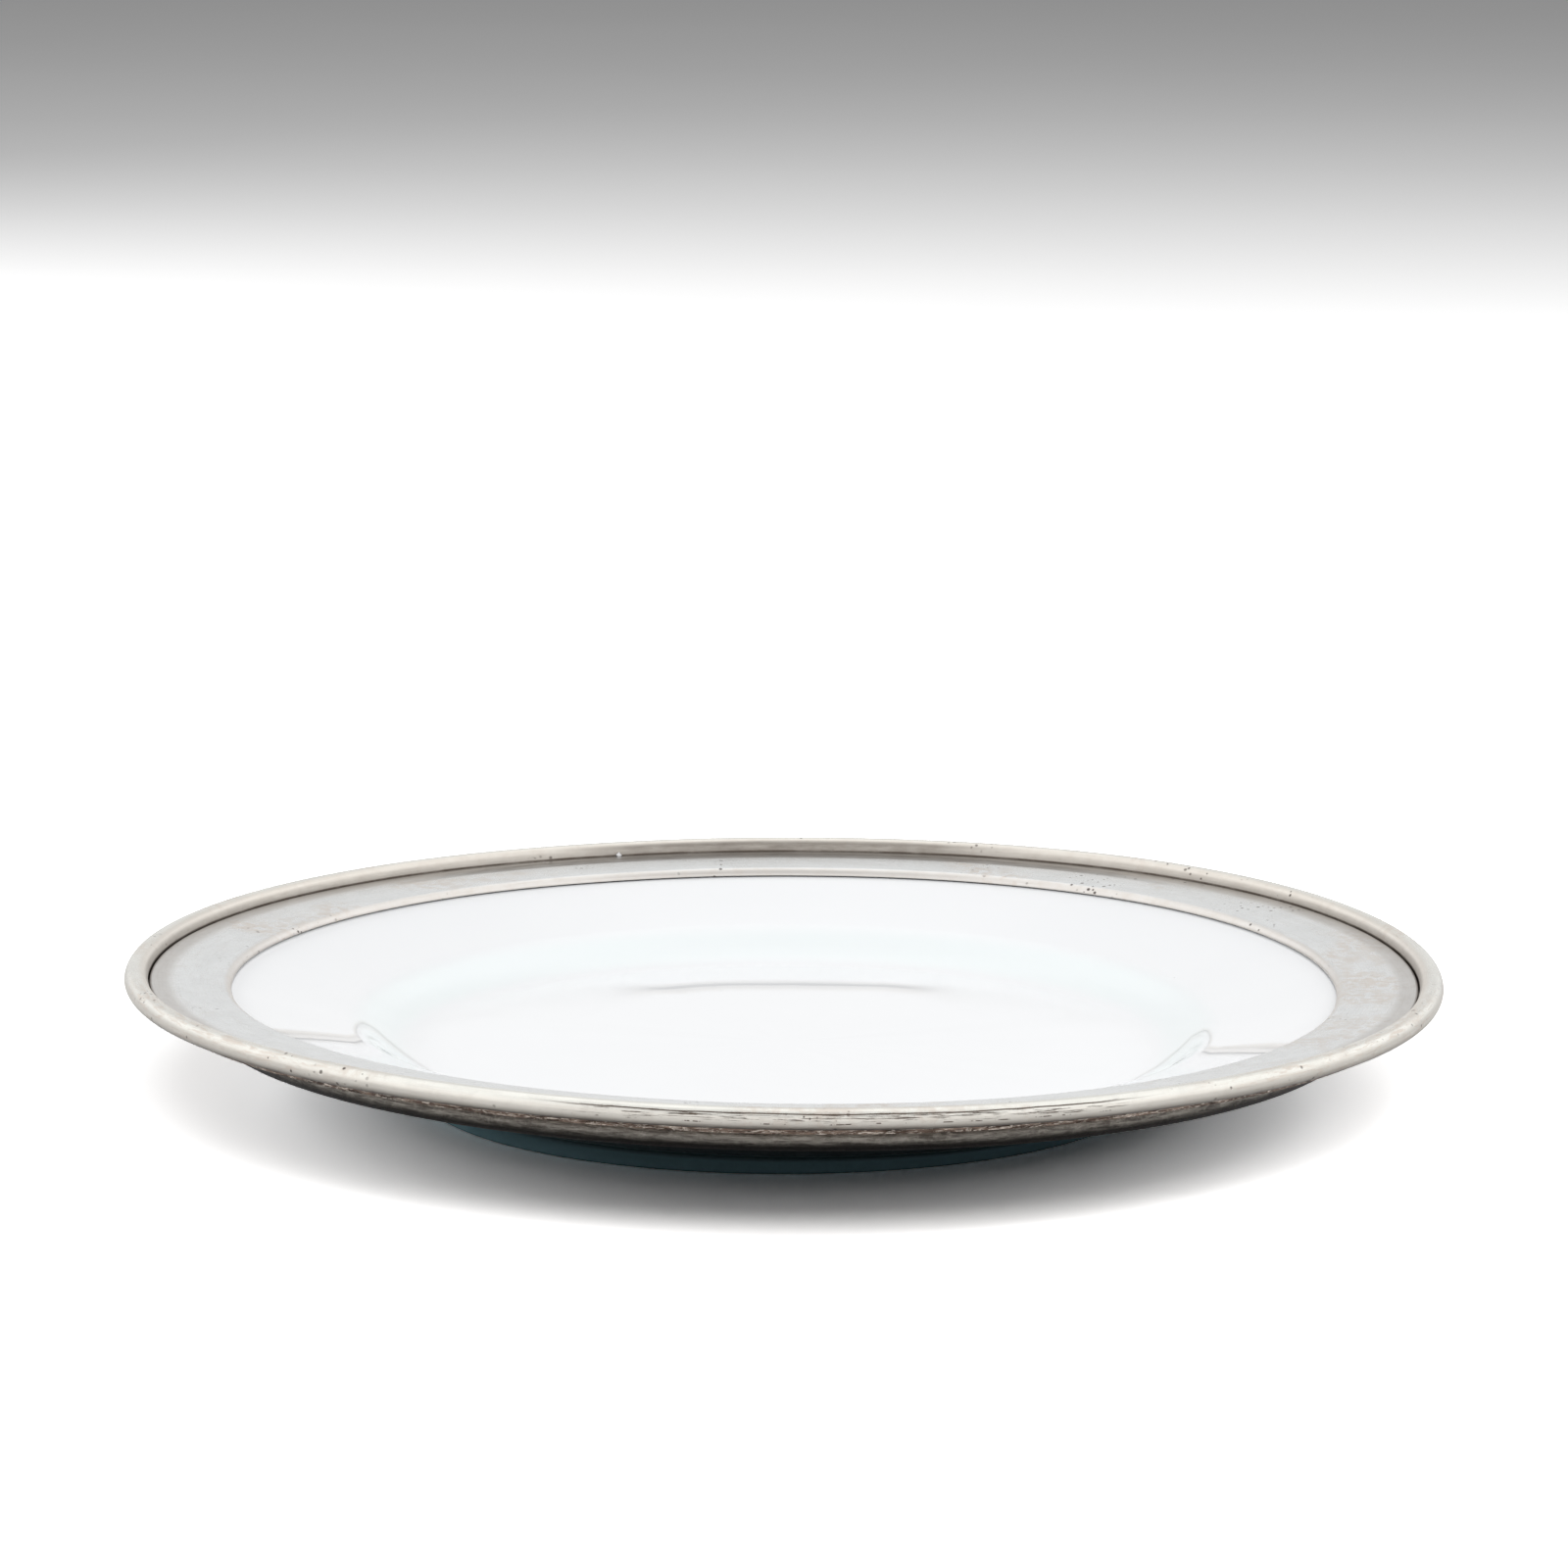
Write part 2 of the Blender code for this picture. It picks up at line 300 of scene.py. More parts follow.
def flange_section():
    roll_z = LIP_BOTTOM_Z + LIP_FACE
    rise = flange_top(LIP_R + LIP_ROLL) - roll_z
    curve = arc(0, 0, 1.0, LIP_ROLL_START, 90)
    first_r, first_z, _ = curve[0]
    roll = [(LIP_R + LIP_ROLL * (1 - r / first_r),
             roll_z + rise * (z - first_z) / (1 - first_z), 0) for r, z, _ in curve]
    return [
        (LIP_R, LIP_BOTTOM_Z, 0),
    ] + roll + [
        (FLANGE_OUTER_R, FLANGE_TOP_Z + 0.01, 0.3),
        (FLANGE_OUTER_R, flange_underside(FLANGE_OUTER_R), 0),
        (LIP_R + LIP_WIDTH, flange_underside(LIP_R + LIP_WIDTH), 0),
    ]


def bead_section():
    centre_r, centre_z = PLATE_R - BEAD_R, PLATE_H - BEAD_R
    inner_r = FLANGE_OUTER_R + GAP
    crown = []
    for r, z, _ in arc(centre_r, centre_z, BEAD_R, 157.5, -90):
        below = min(0, z - centre_z)
        crown.append((r, z - below + below * BEAD_UNDER / BEAD_R, 0))
    return [
        (inner_r, flange_underside(inner_r) - GAP, 0),
        (inner_r, centre_z + BEAD_INNER_RISE, 0),
    ] + crown + [
        (BEAD_NECK_R, centre_z - BEAD_UNDER, 0.7),
        (LEDGE_OUTER_R, LEDGE_BOTTOM_Z, 0.15),
        (LEDGE_INNER_R, LEDGE_BOTTOM_Z, 0),
        (LEDGE_INNER_R, flange_underside(LEDGE_INNER_R) - GAP, 0),
    ]


def collar_section():
    moulding = arc(MOULDING_CENTRE_R, MOULDING_CENTRE_Z, MOULDING_R, 35, -90)
    wall_r = BEDDING_OUTER_R + GAP
    seat_z = RIM_UNDER_Z - GAP
    return [
        (wall_r, COLLAR_TOP_Z, 0),
        (COLLAR_OUTER_R, COLLAR_TOP_Z, 0.15),
        (COLLAR_OUTER_R, COLLAR_TOP_Z - 0.6, 0.3),
        (moulding[0][0] + 0.2, COLLAR_TOP_Z - 1.3, 0.6),
    ] + moulding + [
        (COLLAR_INNER_R, MOULDING_CENTRE_Z - MOULDING_R - 0.4, 0.5),
        (COLLAR_INNER_R, seat_z - 0.8, 0.3),
        (RIM_UNDER_R, seat_z, 0),
        (wall_r, seat_z, 0),
    ]


def band_section(inner_r, outer_r, bottom_z, top_z):
    """A plain closed-in band with broken edges."""
    return [
        (inner_r, top_z, 0.1),
        (outer_r, top_z, 0.1),
        (outer_r, bottom_z, 0.1),
        (inner_r, bottom_z, 0.1),
    ]


# Meshes ---------------------------------------------------------------------

def clamped(value):
    return min(1.0, max(0.0, value))


def uneven(r, z, angle):
    """The place of a section point at an angle, with the rim's lean and wobble, in mm."""
    turn = Vector((math.cos(angle), math.sin(angle), 0))
    above = clamped(z / LEVEL_BELOW)
    share = above ** 2 * min(1.0, r / WOBBLE_FROM_R)
    slow = noise.noise(turn * WOBBLE_PACE + WOBBLE_SEED)
    around = noise.noise(turn * ROUND_PACE + ROUND_SEED)
    lean = above * above * (3 - 2 * above)
    out = r / LIP_R
    warp = out * (LEAN_X * turn.x + LEAN_Y * turn.y)
    warp += out ** 2 * (TWIST * math.sin(2 * angle) - RIM_DROP)
    warp += out ** 3 * THIRD * math.sin(3 * angle)
    if turn.y < 0:
        outer = clamped((r - LIP_R) / (FLANGE_OUTER_R - LIP_R))
        lift = BEAD_LIFT + BEAD_LIFT_LEAN * turn.x
        warp += outer * lift * math.sin(2 * angle) ** 2
    round_r = r + share * ROUND_WOBBLE * around
    return round_r * turn.x, round_r * turn.y, z + warp * lean + share * WOBBLE * slow


def turned(name, corners, segments, material, nodes, closed=True):
    """A turned piece that keeps two numbers on each vertex, in mm: how far along the section
    it is, and its height. A closed section starts at a corner that stays out of sight."""
    points = stepped(filleted(corners, closed), closed)
    lengths = [0.0]
    for (r0, z0), (r1, z1) in zip(points, points[1:]):
        lengths.append(lengths[-1] + math.hypot(r1 - r0, z1 - z0))
    poles = [] if closed else [0, len(points) - 1]
    rings = [i for i in range(len(points)) if i not in poles]
    vertices, across, height = [], [], []
    for step in range(segments):
        angle = 2 * math.pi * step / segments
        for i in rings:
            r, z = points[i]
            x, y, up = uneven(r, z, angle)
            vertices.append((x * MM, y * MM, up * MM))
            across.append(lengths[i])
            height.append(z)
    faces = []
    count = len(rings)
    for step in range(segments):
        here, there = step * count, (step + 1) % segments * count
        for k in range(count - 1 + closed):
            j = (k + 1) % count
            faces.append((here + k, there + k, there + j, here + j))
    for pole in poles:
        tip = len(vertices)
        r, z = points[pole]
        vertices.append((0, 0, z * MM))
        across.append(lengths[pole])
        height.append(z)
        k = 0 if pole == 0 else count - 1
        for step in range(segments):
            here, there = step * count + k, (step + 1) % segments * count + k
            faces.append((tip, there, here) if pole == 0 else (tip, here, there))
    mesh = bpy.data.meshes.new(name)
    mesh.from_pydata(vertices, [], faces)
    mesh.validate()
    for label, values in (("across", across), ("level", height)):
        attribute = mesh.attributes.new(label, "FLOAT", "POINT")
        attribute.data.foreach_set("value", values)
    mesh.shade_smooth()
    mesh.set_sharp_from_angle(angle=SMOOTH_ANGLE)
    mesh.materials.append(material)
    piece = bpy.data.objects.new(name, mesh)
    bpy.context.scene.collection.objects.link(piece)
    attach(piece, "root")
    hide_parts(*nodes)
    return piece


# Materials ------------------------------------------------------------------

class Recipe:
    """A material's node tree with short calls for the nodes that are used here."""

    def __init__(self, name):
        self.material = bpy.data.materials.new(name)
        self.material.use_nodes = True
        self.tree = self.material.node_tree
        self.shader = self.tree.nodes["Principled BSDF"]

    def node(self, kind, inputs=(), **settings):
        made = self.tree.nodes.new("ShaderNode" + kind)
        for key, value in settings.items():
            setattr(made, key, value)
        for key, value in dict(inputs).items():
            self.feed(made.inputs[key], value)
        return made

    def feed(self, socket, value):
        if isinstance(value, bpy.types.NodeSocket):
            self.tree.links.new(value, socket)
        else:
            socket.default_value = value

    def set(self, **values):
        """Set or link the shader's own sockets; underscores stand for spaces."""
        for key, value in values.items():
            self.feed(self.shader.inputs[key.replace("_", " ")], value)

    def math(self, operation, a, b=0.0, clamp=False):
        made = self.node("Math", operation=operation, use_clamp=clamp)
        self.feed(made.inputs[0], a)
        self.feed(made.inputs[1], b)
        return made.outputs[0]

    def both(self, a, b):
        return self.math("MULTIPLY", a, b)

    def attribute(self, name):
        return self.node("Attribute", attribute_name=name).outputs["Fac"]

    def step(self, value, low, high):
        """0 below low and 1 above high, smooth between; high may be under low."""
        made = self.node("MapRange", interpolation_type="SMOOTHSTEP")
        self.feed(made.inputs["Value"], value)
        if low < high:
            made.inputs["From Min"].default_value = low
            made.inputs["From Max"].default_value = high
        else:
            made.inputs["From Min"].default_value = high
            made.inputs["From Max"].default_value = low
            made.inputs["To Min"].default_value = 1.0
            made.inputs["To Max"].default_value = 0.0
        return made.outputs["Result"]

    def band(self, value, low, high, soft):
        """1 between low and high, fading to 0 over soft outside them."""
        rise = self.step(value, low - soft, low)
        fall = self.step(value, high + soft, high)
        return self.both(rise, fall)

    def scaled(self, value, low, high):
        """Map 0..1 to low..high."""
        made = self.node("MapRange")
        self.feed(made.inputs["Value"], value)
        made.inputs["To Min"].default_value = low
        made.inputs["To Max"].default_value = high
        return made.outputs["Result"]

    def mix(self, factor, a, b):
        made = self.node("Mix", data_type="RGBA")
        self.feed(made.inputs[0], factor)
        for index, value in ((6, a), (7, b)):
            if isinstance(value, tuple):
                value = (*value, 1)
            self.feed(made.inputs[index], value)
        return made.outputs[2]

    def place(self):
        return self.node("TexCoord").outputs["Object"]

    def ring(self, length, width, shift=0.0):
        """Seamless coordinates whose unit is `length` mm round the plate and `width` mm
        along the section."""
        flat = self.node("VectorMath", operation="MULTIPLY")
        self.feed(flat.inputs[0], self.place())
        flat.inputs[1].default_value = (1, 1, 0)
        unit = self.node("VectorMath", operation="NORMALIZE")
        self.feed(unit.inputs[0], flat.outputs[0])
        scaled = self.node("VectorMath", operation="SCALE")
        self.feed(scaled.inputs[0], unit.outputs[0])
        scaled.inputs["Scale"].default_value = RING_R / length
        rise = self.node("CombineXYZ")
        self.feed(rise.inputs[2], self.math("MULTIPLY", self.attribute("across"), 1.0 / width))
        rise.inputs[0].default_value = shift
        total = self.node("VectorMath", operation="ADD")
        self.feed(total.inputs[0], scaled.outputs[0])
        self.feed(total.inputs[1], rise.outputs[0])
        return total.outputs[0]

    def noise(self, vector, scale=1.0, detail=2.0, rough=0.5, twist=0.0):
        made = self.node("TexNoise")
        self.feed(made.inputs["Vector"], vector)
        made.inputs["Scale"].default_value = scale
        made.inputs["Detail"].default_value = detail
        made.inputs["Roughness"].default_value = rough
        made.inputs["Distortion"].default_value = twist
        return made.outputs["Fac"]

    def dots(self, vector, scale, size, share):
        """Scattered round dots: about `share` of the cells hold one, up to `size` wide."""
        cells = self.node("TexVoronoi", feature="F1")
        self.feed(cells.inputs["Vector"], vector)
        cells.inputs["Scale"].default_value = scale
        pick = self.node("SeparateColor")
        self.feed(pick.inputs[0], cells.outputs["Color"])
        chosen = self.math("LESS_THAN", pick.outputs[0], share)
        reach = self.scaled(pick.outputs[1], size * 0.4, size)
        outwards = self.math("DIVIDE", cells.outputs["Distance"], reach)
        inside = self.math("SUBTRACT", 1.0, outwards)
        return self.both(chosen, self.step(inside, 0.0, 0.6))

    def bump(self, height, strength, distance, normal=None):
        made = self.node("Bump")
        self.feed(made.inputs["Height"], height)
        made.inputs["Strength"].default_value = strength
        made.inputs["Distance"].default_value = distance
        if normal is not None:
            self.feed(made.inputs["Normal"], normal)
        return made.outputs["Normal"]

    def xyz(self):
        split = self.node("SeparateXYZ")
        self.feed(split.inputs[0], self.place())
        return split.outputs

    def facing_front(self):
        """1 on the most worn side, at the front. Here and below, places are in metres."""
        x, y, _ = self.xyz()
        return self.both(self.step(y, -0.11, -0.13), self.band(x, -0.034, 0.060, 0.018))

    def beside_front(self):
        """1 on the outer rim to the left and right of the most worn side."""
        x, y, _ = self.xyz()
        radius = self.node("VectorMath", operation="LENGTH")
        self.feed(radius.inputs[0], self.place())
        outer = self.step(radius.outputs["Value"], 0.138, 0.140)
        aside = self.step(self.math("ABSOLUTE", x), 0.070, 0.100)
        return self.both(outer, self.both(self.step(y, -0.01, -0.045), aside))

    def at_back(self, half_width):
        """1 along the far side of the plate, within half_width of its middle, in metres."""
        x, y, _ = self.xyz()
        return self.both(self.band(x, -half_width, half_width, 0.035),
                         self.step(y, 0.02, 0.08))

    def aside_at_back(self):
        """1 on the far half of the plate, left and right of its middle."""
        x, y, _ = self.xyz()
        return self.both(self.step(self.math("ABSOLUTE", x), 0.026, 0.044),
                         self.step(y, 0.010, 0.035))

    def ring_tangent(self):
        return self.node("Tangent", direction_type="RADIAL", axis="Z").outputs[0]


def scuffed_brown(n):
    """The colour of old brown pewter, rubbed bright in flecks, and the two noises in it."""
    streak = n.noise(n.ring(7, 0.8), 1, 5, 0.7, 0.6)
    fleck = n.noise(n.ring(1.8, 0.36, 3.0), 1, 5, 0.75, 0.8)
    brown = n.mix(n.step(streak, 0.38, 0.64), BROWN_DEEP, BROWN)
    brown = n.mix(n.math("MULTIPLY", n.step(fleck, 0.52, 0.61), 0.95), brown, BROWN_FLECK)
    return brown, streak, fleck


def glaze_material():
    """Cool white glaze: tinted where it pools on the wall; painted blue-green shade outside
    the foot and painted near-black shade in the foot's root; bare where the foot stands."""
    n = Recipe("white_glaze")
    across, level = n.attribute("across"), n.attribute("level")
    place = n.place()
    cloud = n.noise(place, 26, 3, 0.6)
    white = n.mix(cloud, GLAZE_LOW, GLAZE_HIGH)
    pooled = n.both(n.band(across, *ACROSS_WELL_WALL, 6.0), n.scaled(cloud, 0.3, 0.95))
    white = n.mix(pooled, white, GLAZE_POOLED)
    specks = n.dots(place, 150, 0.05, 0.035)
    white = n.mix(n.math("MULTIPLY", specks, 0.8), white, GLAZE_SPECK)
    outside = n.band(across, *ACROSS_OUTSIDE, 3.0)
    # painted shade on the foot's outer face and the underside beside it, deeper downwards
    shade = n.both(n.step(level, *FOOT_SHADE_HEIGHTS), outside)
    white = n.mix(shade, white, FOOT_PAINTED_SHADE)
    # painted shade: the foot's root, where the wall's underside meets the foot, goes near
    # black
    root = n.both(n.band(level, *ROOT_SHADE_HEIGHTS, 1.3), outside)
    white = n.mix(n.math("MULTIPLY", root, 0.88), white, ROOT_PAINTED_SHADE)
    bare = n.math("ADD", level, n.math("MULTIPLY", n.noise(place, 240, 3), 0.5))
    bare = n.both(n.step(bare, *BARE_HEIGHTS),
                  n.step(across, ACROSS_RIM_EDGE, ACROSS_OUTSIDE[0]))
    grit = n.noise(place, 900, 3, 0.7)
    biscuit = n.mix(grit, BISCUIT_LOW, BISCUIT_HIGH)
    colour = n.mix(bare, white, biscuit)
    smooth = n.mix(n.noise(place, 60, 4), (GLAZE_SMOOTH,) * 3, (GLAZE_LESS_SMOOTH,) * 3)
    rough = n.mix(bare, smooth, (BISCUIT_ROUGH,) * 3)
    dull = n.both(n.band(across, *ACROSS_DULL, 6.0), n.aside_at_back())
    rough = n.mix(dull, rough, (GLAZE_DULL,) * 3)
    ripple = n.noise(place, 55, 2, 0.4)
    normal = n.bump(ripple, 0.18, 0.00006)
    normal = n.bump(n.both(grit, bare), 0.6, 0.0002, normal)
    n.set(Base_Color=colour, Roughness=rough, Normal=normal, IOR=1.42)
    return n.material


def broken_lines(n, across, scratch, lines, worn_side):
    """Add long broken scratches that run round the plate, given as in pewter_material."""
    for count, (where, half, coverage) in enumerate(lines):
        ragged = n.noise(n.ring(4.5, 60, 4.0 + 3 * count), 1, 5, 0.72)
        drift = n.noise(n.ring(14, 90, 2.0 + 5 * count), 1, 2)
        wander = n.math("ADD", across, n.math("MULTIPLY", drift, 0.8))
        line = n.band(wander, where + 0.4 - half, where + 0.4 + half, 1.5 * half)
        shown = n.step(ragged, 0.66 - 0.3 * coverage, 0.72 - 0.3 * coverage)
        line = n.both(n.both(line, shown), worn_side)
        scratch = n.math("MAXIMUM", scratch, line)
    return scratch


def pewter_material(name, tones, dark_bands, darker_at_back, warm, lines, aged_from=None):
    """Satin pewter between two `tones`. Bands are given along the section in mm: `dark_bands`
    lists (low, high, soft, strength) of darkening: patina in crevices, and painted shade on
    the bead's underside; `darker_at_back` the same with a half width in metres for darkening
    at the back only, on the flange a painted reflection of the bead's dark inner face; `warm`
    the same as
    `dark_bands` for beige patina, and `lines` (place, half width, coverage) of broken dark
    scratches that run round the plate. Beyond `aged_from` the metal is as brown as the collar."""
    n = Recipe(name)
    across, place = n.attribute("across"), n.place()
    mottle = n.noise(place, 380, 5, 0.68)
    cloud = n.noise(n.ring(9, 4), 1, 4, 0.6)
    patch = n.noise(place, 26, 3, 0.6, 0.5)
    brush = n.noise(n.ring(12, 0.16), 1, 3, 0.65)
    colour = n.mix(n.step(cloud, 0.30, 0.72), *tones)
    colour = n.mix(n.math("MULTIPLY", n.step(mottle, 0.50, 0.70), 0.22), colour, MOTTLE)

    beige = n.both(n.step(patch, 0.52, 0.66), n.step(mottle, 0.38, 0.58))
    beige = n.math("MULTIPLY", beige, 0.70)
    smear = n.noise(n.ring(6, 0.9, 5.0), 1, 5, 0.72, 0.6)
    rubbed = n.both(n.beside_front(), n.step(smear, 0.44, 0.62))
    beige = n.math("MAXIMUM", beige, n.math("MULTIPLY", rubbed, 0.85))
    for low, high, soft, strength in warm:
        band = n.math("MULTIPLY", n.band(across, low, high, soft), strength)
        band = n.math("MULTIPLY", band, n.scaled(mottle, 0.55, 1.3), clamp=True)
        beige = n.math("MAXIMUM", beige, band)
    colour = n.mix(beige, colour, BEIGE)
    colour = n.mix(n.math("MULTIPLY", n.step(brush, 0.52, 0.70), 0.34), colour, BRUSHED)

    # darkening: patina in the crevices, and painted shade where a band lies under the bead
    darkening = None
    for low, high, soft, strength in dark_bands:
        band = n.math("MULTIPLY", n.band(across, low, high, soft), strength)
        darkening = band if darkening is None else n.math("MAXIMUM", darkening, band)
    # bands darker at the back only; on the flange this is a painted reflection of the bead's
    # dark inner face
    for low, high, soft, strength, half_width in darker_at_back:
        band = n.math("MULTIPLY", n.band(across, low, high, soft), strength)
        darkening = n.math("MAXIMUM", darkening, n.both(band, n.at_back(half_width)))
    broken = n.scaled(n.noise(n.ring(6, 1.2), 1, 4, 0.65), 0.45, 1.45)
    darkening = n.math("MULTIPLY", darkening, broken, clamp=True)
    colour = n.mix(darkening, colour, DIRT_AND_SHADE)

    marks = n.noise(n.ring(6.5, 0.22, 7.0), 1, 5, 0.7)
    shown = n.step(n.noise(place, 17, 2, 0.5, 0.2), 0.50, 0.62)
    if lines:
        worn_side = n.facing_front()
        worn = n.both(n.band(across, *ACROSS_BEAD_FACE, 0.6), worn_side)
        marks = n.math("ADD", marks, n.math("MULTIPLY", worn, 0.115))
        shown = n.math("MAXIMUM", shown, worn)
    scratch = n.both(n.step(marks, 0.66, 0.70), shown)
    if lines:
        scratch = broken_lines(n, across, scratch, lines, worn_side)
    colour = n.mix(n.math("MULTIPLY", scratch, 0.95), colour, SCRATCH)

    pitted = n.math("MAXIMUM", n.step(n.noise(place, 33, 2, 0.5, 0.3), 0.57, 0.65),
                    n.both(n.beside_front(), n.step(n.noise(place, 75, 2), 0.49, 0.56)))
    pit = n.both(n.dots(place, 800, 0.46, 0.34), pitted)
    colour = n.mix(n.math("MULTIPLY", pit, 0.9), colour, PIT)

    grain = n.math("ADD", n.math("MULTIPLY", mottle, 0.5), n.math("MULTIPLY", brush, 0.5))
    rough = n.scaled(grain, PEWTER_SHINE - 0.08, PEWTER_SHINE + 0.10)
    soiled_and_shaded = n.math("MAXIMUM", darkening, beige)
    rough = n.math("ADD", rough, n.math("MULTIPLY", soiled_and_shaded, 0.14))
    normal = n.bump(brush, 0.30, 0.00004)
    normal = n.bump(mottle, 0.22, 0.00008, normal)
    normal = n.bump(n.noise(n.ring(7, 2.2), 1, 3, 0.6), 0.22, 0.00018, normal)
    hollow = n.math("MAXIMUM", pit, n.math("MULTIPLY", scratch, 0.5))
    normal = n.bump(n.math("SUBTRACT", 1.0, hollow), 0.7, 0.00020, normal)
    if aged_from is not None:
        brown, streak, _ = scuffed_brown(n)
        aged = n.step(n.math("ADD", across, n.math("MULTIPLY", streak, 0.6)),
                      aged_from + 0.1, aged_from + 0.6)
        colour = n.mix(aged, colour, brown)
        rough = n.math("ADD", rough, n.math("MULTIPLY", aged, 0.12))
        normal = n.bump(n.both(streak, aged), 0.5, 0.00018, normal)
    n.set(Base_Color=colour, Roughness=rough, Normal=normal, Metallic=1.0, Anisotropic=0.40,
          Tangent=n.ring_tangent())
    return n.material


def aged_material():
    """Dark brown, scuffed pewter of the collar over a greyer moulding, with painted shade
    making it near black below.
    """
    n = Recipe("aged_pewter")
    across, place = n.attribute("across"), n.place()
    grain = n.noise(place, 700, 4, 0.7)
    brown, streak, fleck = scuffed_brown(n)
    grey = n.mix(n.step(streak, 0.34, 0.70), GREY_DEEP, GREY)
    grey = n.mix(n.math("MULTIPLY", n.step(grain, 0.48, 0.68), 0.4), grey, GREY_FLECK)
    # painted shade: the moulding's lower half, which faces the shadowed floor, goes near black
    underside_shade = n.step(n.math("SUBTRACT", across, streak), MOULDING_STARTS + 0.6,
                     MOULDING_STARTS + 3.4)
    grey = n.mix(underside_shade, grey, MOULDING_UNDERSIDE_SHADE)
    edge = n.math("ADD", across, n.math("MULTIPLY", streak, 0.9))
    moulding = n.step(edge, MOULDING_STARTS + 0.5, MOULDING_STARTS + 1.3)
    colour = n.mix(moulding, brown, grey)
    rough = n.scaled(streak, 0.30, 0.52)
    normal = n.bump(streak, 0.55, 0.00018)
    normal = n.bump(fleck, 0.6, 0.00016, normal)
    normal = n.bump(grain, 0.4, 0.00008, normal)
    n.set(Base_Color=colour, Roughness=rough, Normal=normal, Metallic=0.9, Anisotropic=0.3,
          Tangent=n.ring_tangent())
    return n.material


def bedding_material():
    n = Recipe("bedding_compound")
    grain = n.noise(n.place(), 900, 5, 0.7)
    colour = n.mix(grain, BEDDING_LOW, BEDDING_HIGH)
    n.set(Base_Color=colour, Roughness=n.scaled(grain, 0.75, 0.95),
          Normal=n.bump(grain, 0.6, 0.0002))
    return n.material


def solder_material():
    n = Recipe("solder")
    flow = n.noise(n.ring(4, 1.5), 1, 4, 0.6)
    colour = n.mix(flow, SOLDER_LOW, SOLDER_HIGH)
    n.set(Base_Color=colour, Roughness=n.scaled(flow, 0.32, 0.55), Metallic=1.0,
          Normal=n.bump(flow, 0.5, 0.0003))
    return n.material


# Stage ----------------------------------------------------------------------

def make_floor():
    """A wide pale floor. It is brightest for the camera, dimmer in reflections, and gives
    little light back to the plate's underside. It is clear from below and open inside the
    foot ring, so that light reaches the recess when the plate is seen from below. Far
    behind the plate, where the softboxes' light falls off, it goes grey."""
    mesh = bpy.data.meshes.new("floor")
    vertices = []
    for step in range(FLOOR_SEGMENTS):
        angle = 2 * math.pi * step / FLOOR_SEGMENTS
        for radius in (FLOOR_OPEN_R * MM, FLOOR_REACH):
            vertices.append((radius * math.cos(angle), radius * math.sin(angle), 0))
    count = len(vertices)
    mesh.from_pydata(vertices, [], [(i, i + 1, (i + 3) % count, (i + 2) % count)
                                    for i in range(0, count, 2)])
    n = Recipe("floor")
    tree = n.tree
    tree.nodes.remove(n.shader)
    seen = n.node("BsdfDiffuse")
    paper = n.noise(n.place(), 3.0, 2)
    n.feed(seen.inputs["Color"], n.mix(paper, FLOOR_SEEN_LOW, FLOOR_SEEN_HIGH))
    path = n.node("LightPath")
    back = n.mix(path.outputs["Is Glossy Ray"], FLOOR_GIVES_BACK, FLOOR_MIRRORED)
    lit = n.node("BsdfDiffuse", {"Color": back})
    either = n.node("MixShader")
    n.feed(either.inputs[0], path.outputs["Is Camera Ray"])
    n.feed(either.inputs[1], lit.outputs[0])
    n.feed(either.inputs[2], seen.outputs[0])
    clear = n.node("BsdfTransparent")
    side = n.node("NewGeometry")
    both = n.node("MixShader")
    n.feed(both.inputs[0], side.outputs["Backfacing"])
    n.feed(both.inputs[1], either.outputs[0])
    n.feed(both.inputs[2], clear.outputs[0])
    n.feed(tree.nodes["Material Output"].inputs["Surface"], both.outputs[0])
    mesh.materials.append(n.material)
    floor = bpy.data.objects.new("floor", mesh)
    bpy.context.scene.collection.objects.link(floor)


